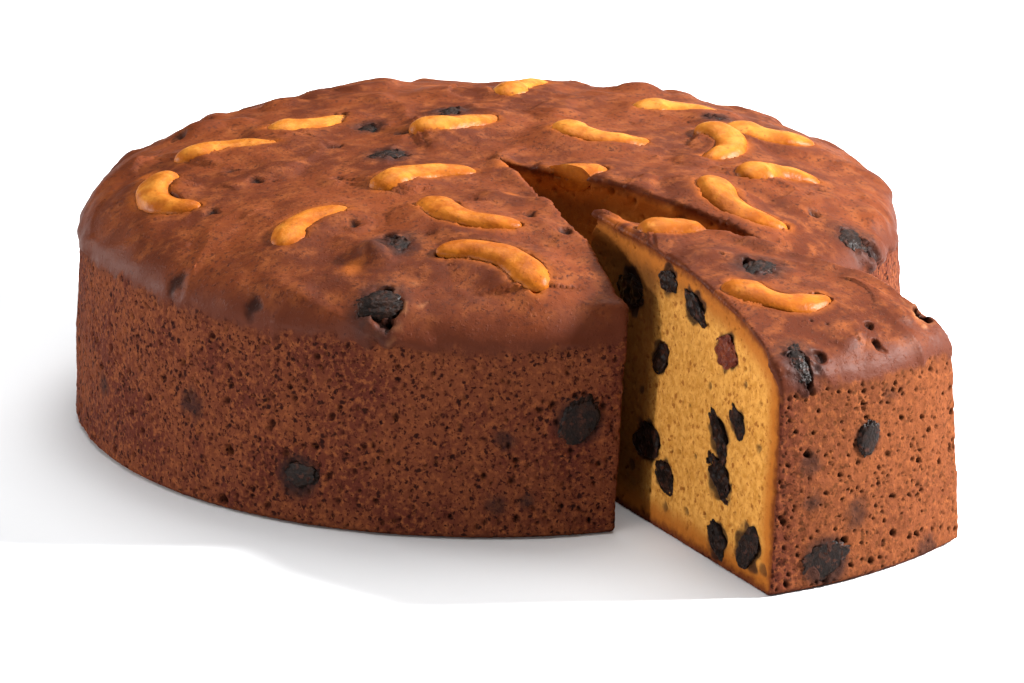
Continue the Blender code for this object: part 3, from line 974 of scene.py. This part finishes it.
# %% Tools for nodes
def add(tree, kind, inputs=None, **settings):
    """A new node with its settings made and its inputs set or linked."""
    node = tree.nodes.new(kind)
    for name, value in settings.items():
        setattr(node, name, value)
    for name, value in (inputs or {}).items():
        if isinstance(value, bpy.types.NodeSocket):
            tree.links.new(value, node.inputs[name])
        else:
            node.inputs[name].default_value = value
    return node


def new_group(name, inputs, outputs):
    """A shader group with these sockets, given as (name, kind, value) and (name, kind)."""
    group = bpy.data.node_groups.new(name, "ShaderNodeTree")
    for label, kind, value in inputs:
        socket = group.interface.new_socket(label, in_out="INPUT", socket_type=kind)
        if value is not None:
            socket.default_value = value
    for label, kind in outputs:
        group.interface.new_socket(label, in_out="OUTPUT", socket_type=kind)
    return group, group.nodes.new("NodeGroupInput").outputs, group.nodes.new("NodeGroupOutput").inputs


def math_node(tree, operation, a, b):
    return add(tree, "ShaderNodeMath", {0: a, 1: b}, operation=operation).outputs[0]


def mix_colour(tree, share, a, b):
    node = tree.nodes.new("ShaderNodeMix")
    node.data_type = "RGBA"
    for socket, value in zip((node.inputs[0], node.inputs[6], node.inputs[7]), (share, a, b)):
        if isinstance(value, bpy.types.NodeSocket):
            tree.links.new(value, socket)
        else:
            socket.default_value = value if socket is node.inputs[0] else (*value, 1)
    return node.outputs[2]


def band(tree, value, low, high):
    """0 below low, 1 above high, smooth between."""
    node = add(tree, "ShaderNodeMapRange", {"Value": value, "From Min": low, "From Max": high},
               interpolation_type="SMOOTHSTEP")
    return node.outputs["Result"]


# %% Groups
def make_grain_group():
    """Soft noise of a size in millimetres, as a value round 0.5."""
    group, given, result = new_group("grain", [("Position", "NodeSocketVector", None),
                                               ("Millimetres", "NodeSocketFloat", 1.0),
                                               ("Detail", "NodeSocketFloat", 3.0)],
                                     [("Value", "NodeSocketFloat")])
    scale = math_node(group, "DIVIDE", 1000.0, given["Millimetres"])
    cloud = add(group, "ShaderNodeTexNoise", {"Vector": given["Position"], "Scale": scale,
                                              "Detail": given["Detail"], "Roughness": 0.6})
    group.links.new(cloud.outputs["Fac"], result["Value"])
    return group


def make_speck_group():
    """Small round specks spread at random: 1 in a speck and 0 between them."""
    group, given, result = new_group("specks", [("Position", "NodeSocketVector", None),
                                                ("Millimetres", "NodeSocketFloat", 2.0),
                                                ("Share", "NodeSocketFloat", 0.3)],
                                     [("Mask", "NodeSocketFloat")])
    scale = math_node(group, "DIVIDE", 1000.0, given["Millimetres"])
    wobble = add(group, "ShaderNodeTexNoise", {"Vector": given["Position"], "Scale": 1300.0, "Detail": 3.0})
    shake = add(group, "ShaderNodeVectorMath", {0: wobble.outputs["Color"], 3: 0.0016}, operation="SCALE")
    moved = add(group, "ShaderNodeVectorMath", {0: given["Position"], 1: shake.outputs[0]}, operation="ADD")
    cells = add(group, "ShaderNodeTexVoronoi", {"Vector": moved.outputs[0], "Scale": scale})
    lots = add(group, "ShaderNodeSeparateColor", {"Color": cells.outputs["Color"]})
    size = math_node(group, "MULTIPLY", given["Share"], lots.outputs[0])
    inner = math_node(group, "MULTIPLY", size, 0.6)
    shade = add(group, "ShaderNodeMapRange", {"Value": cells.outputs["Distance"], "From Min": inner,
                                              "From Max": size, "To Min": 1.0, "To Max": 0.0})
    group.links.new(shade.outputs["Result"], result["Mask"])
    return group


GRAIN = make_grain_group()
SPECKS = make_speck_group()
print("groups:", GRAIN.name, "and", SPECKS.name)


def grain(tree, position, millimetres, detail=3.0):
    node = add(tree, "ShaderNodeGroup", node_tree=GRAIN)
    tree.links.new(position, node.inputs["Position"])
    node.inputs["Millimetres"].default_value = millimetres
    node.inputs["Detail"].default_value = detail
    return node.outputs["Value"]


def specks(tree, position, millimetres, share):
    node = add(tree, "ShaderNodeGroup", node_tree=SPECKS)
    tree.links.new(position, node.inputs["Position"])
    node.inputs["Millimetres"].default_value = millimetres
    node.inputs["Share"].default_value = share
    return node.outputs["Mask"]


def new_material(name):
    material = bpy.data.materials.new(name)
    material.use_nodes = True
    tree = material.node_tree
    shader = tree.nodes["Principled BSDF"]
    position = tree.nodes.new("ShaderNodeTexCoord").outputs["Object"]
    return material, tree, shader, position


def mottled(tree, position, millimetres, low, high, first, second):
    """The first colour, turning into the second where the grain of that size passes from low to high."""
    return mix_colour(tree, band(tree, grain(tree, position, millimetres), low, high), first, second)


def tinted(tree, mask, strength, colour, tint):
    """The colour, turned into the tint by this strength where the mask is 1."""
    return mix_colour(tree, math_node(tree, "MULTIPLY", mask, strength), colour, tint)


def set_gloss(shader, roughness, specular):
    shader.inputs["Roughness"].default_value = roughness
    shader.inputs["Specular IOR Level"].default_value = specular


def roughen(tree, shader, height, strength, depth):
    """Tips the shader's normal by a height, as unevenness too fine for the mesh."""
    bump = add(tree, "ShaderNodeBump", {"Height": height, "Strength": strength, "Distance": depth})
    tree.links.new(bump.outputs["Normal"], shader.inputs["Normal"])


# %% Cake
def make_cake_material():
    material, tree, shader, position = new_material("cake")
    known = {name: add(tree, "ShaderNodeAttribute", attribute_name=name).outputs["Fac"]
             for name in FACTS}
    height = add(tree, "ShaderNodeSeparateXYZ", {"Vector": position}).outputs["Z"]

    # The top's skin: orange-brown where it is thin, purple-brown in broad patches and at the rim, freckled.
    top = mottled(tree, position, 26, 0.38, 0.62, (0.056, 0.0112, 0.0034), (0.104, 0.0225, 0.0056))
    top = mottled(tree, position, 5, 0.42, 0.75, top, (0.138, 0.036, 0.0095))
    top = mottled(tree, position, 1.1, 0.48, 0.32, top, (0.050, 0.0115, 0.0042))
    rim = math_node(tree, "ADD", height, math_node(tree, "MULTIPLY", grain(tree, position, 12), 0.012))
    top = mix_colour(tree, band(tree, rim, 0.062, 0.054), top, (0.064, 0.0150, 0.0064))
    top = mix_colour(tree, specks(tree, position, 2.6, 0.16), top, (0.034, 0.0085, 0.004))
    top = tinted(tree, known["thin"], 0.85, top, (0.190, 0.046, 0.0060))
    # The wall: orange-brown and purple-brown by turns, full of pores painted dark with painted shade.
    wall = mottled(tree, position, 16, 0.38, 0.62, (0.062, 0.0145, 0.0085), (0.098, 0.0260, 0.0110))
    wall = mottled(tree, position, 1.3, 0.45, 0.70, wall, (0.150, 0.043, 0.0155))
    wall = mottled(tree, position, 1.0, 0.47, 0.34, wall, (0.036, 0.0085, 0.0050))
    # Painted shade: dark specks stand for pores in shade that the mesh does not carve.
    wall = mix_colour(tree, specks(tree, position, 1.5, 0.5), wall, (0.018, 0.0050, 0.0032))
    wall = mix_colour(tree, specks(tree, position, 3.0, 0.28), wall, (0.014, 0.0040, 0.0028))
    # Painted light: a lighter, warmer wall on the slice's side, where the key lamp falls.
    wall = tinted(tree, known["painted_wall_light"], 0.34, wall, (0.165, 0.052, 0.0150))
    outer = mix_colour(tree, known["skin"], wall, top)
    # The crumb: a brown border, an orange-brown band, then gold; browner under the dome, and darker near the
    # axis with painted shade of the notch.
    crumb = mottled(tree, position, 1.6, 0.3, 0.7, (0.345, 0.143, 0.024), (0.50, 0.236, 0.052))
    crumb = mottled(tree, position, 0.9, 0.46, 0.30, crumb, (0.25, 0.092, 0.017))
    crumb = mix_colour(tree, specks(tree, position, 2.0, 0.42), crumb, (0.22, 0.075, 0.014))
    shift = math_node(tree, "MULTIPLY", grain(tree, position, 3.2), -3.4)
    ragged = math_node(tree, "ADD", known["depth"], shift)
    # Browner crumb high under the dome: partly the crumb's own colour near the crust, partly painted shade of
    # the notch.
    crumb = tinted(tree, band(tree, height, 0.0525, 0.0605), 0.85, crumb, (0.150, 0.046, 0.0085))
    # Painted shade of the notch: darker crumb near the axis.
    crumb = tinted(tree, known["painted_notch_shade"], 0.85, crumb, (0.105, 0.034, 0.0075))
    cut = mix_colour(tree, band(tree, ragged, 0.8, 6.4), (0.275, 0.085, 0.0125), crumb)
    cut = mix_colour(tree, band(tree, ragged, -1.1, 1.3), (0.105, 0.026, 0.0065), cut)
    in_crumb = band(tree, known["depth"], 0.35, 0.9)
    colour = mix_colour(tree, in_crumb, outer, cut)
    colour = tinted(tree, known["torn"], 0.9, colour, (0.22, 0.085, 0.034))
    colour = tinted(tree, known["stain"], 0.85, colour, (0.014, 0.0085, 0.0080))
    # Painted shade in pores, pits, holes, creases and the gaps round fruit.
    colour = tinted(tree, known["painted_recess_shade"], 0.85, colour, (0.008, 0.0024, 0.0016))
    tree.links.new(colour, shader.inputs["Base Color"])

    rough = add(tree, "ShaderNodeMapRange",
                {"Value": grain(tree, position, 3), "To Min": 0.42, "To Max": 0.62})
    outer_rough = add(tree, "ShaderNodeMix", {0: known["skin"], 2: 0.8, 3: rough.outputs["Result"]})
    rough = add(tree, "ShaderNodeMix", {0: in_crumb, 2: outer_rough.outputs[0], 3: 0.9})
    tree.links.new(rough.outputs[0], shader.inputs["Roughness"])
    shine = add(tree, "ShaderNodeMix", {0: known["skin"], 2: 0.02, 3: 0.05})
    tree.links.new(shine.outputs[0], shader.inputs["Specular IOR Level"])

    fine = math_node(tree, "ADD", grain(tree, position, 0.7, 2.0), specks(tree, position, 1.1, 0.5))
    smoothed = math_node(tree, "MULTIPLY", known["skin"], 0.35)
    soft = math_node(tree, "MULTIPLY", fine, math_node(tree, "SUBTRACT", 1.0, smoothed))
    roughen(tree, shader, soft, 0.5, 0.25 * MM)
    return material


# %% Nuts, raisins, cherry, table
def make_cashew_material():
    """Golden with deep orange patches, and deep orange edges low down where the skin meets the nut, which is
    painted shade. The attribute read here carries that and painted light, paler towards the back.
    """
    material, tree, shader, position = new_material("roasted cashew")
    nut_light_shade = add(tree, "ShaderNodeAttribute", attribute_name="nut_light_shade").outputs["Fac"]
    pale = mottled(tree, position, 5, 0.35, 0.65, (0.245, 0.073, 0.0070), (0.350, 0.132, 0.0180))
    deep = mottled(tree, position, 5, 0.35, 0.65, (0.185, 0.043, 0.0030), (0.265, 0.074, 0.0060))
    # Painted light and shade from the attribute, with random tone from the grain on top.
    share = math_node(tree, "ADD", nut_light_shade, math_node(tree, "MULTIPLY", grain(tree, position, 3.2), 0.9))
    colour = mix_colour(tree, band(tree, share, 0.65, 1.25), pale, deep)
    colour = mottled(tree, position, 1.3, 0.58, 0.78, colour, (0.12, 0.031, 0.0040))
    tree.links.new(colour, shader.inputs["Base Color"])
    set_gloss(shader, 0.42, 0.06)
    roughen(tree, shader, grain(tree, position, 1.6), 0.6, 0.35 * MM)
    return material


def make_raisin_material():
    material, tree, shader, position = new_material("raisin")
    colour = mottled(tree, position, 2, 0.4, 0.75, (0.0060, 0.0034, 0.0026), (0.020, 0.0080, 0.0046))
    colour = mottled(tree, position, 1.6, 0.56, 0.66, colour, (0.034, 0.011, 0.0062))
    tree.links.new(colour, shader.inputs["Base Color"])
    set_gloss(shader, 0.45, 0.07)
    roughen(tree, shader, grain(tree, position, 0.8), 0.6, 0.3 * MM)
    return material


def make_cherry_material():
    material, tree, shader, position = new_material("candied cherry")
    colour = mottled(tree, position, 2, 0.4, 0.7, (0.070, 0.012, 0.006), (0.135, 0.030, 0.011))
    tree.links.new(colour, shader.inputs["Base Color"])
    set_gloss(shader, 0.45, 0.08)
    return material


def make_table_material():
    material, _, shader, _ = new_material("white table")
    shader.inputs["Base Color"].default_value = (0.62, 0.625, 0.635, 1)
    shader.inputs["Roughness"].default_value = 0.6
    return material


cake_material = make_cake_material()
for body in (cake, cake_slice):
    body.data.materials.append(cake_material)
cashew_material = make_cashew_material()
for nut in nuts:
    nut.data.materials.append(cashew_material)
raisin_material = make_raisin_material()
for raisin in raisins:
    raisin.data.materials.append(raisin_material)
cherry.data.materials.append(make_cherry_material())
table.data.materials.append(make_table_material())
print("materials:", [material.name for material in bpy.data.materials if material.users])
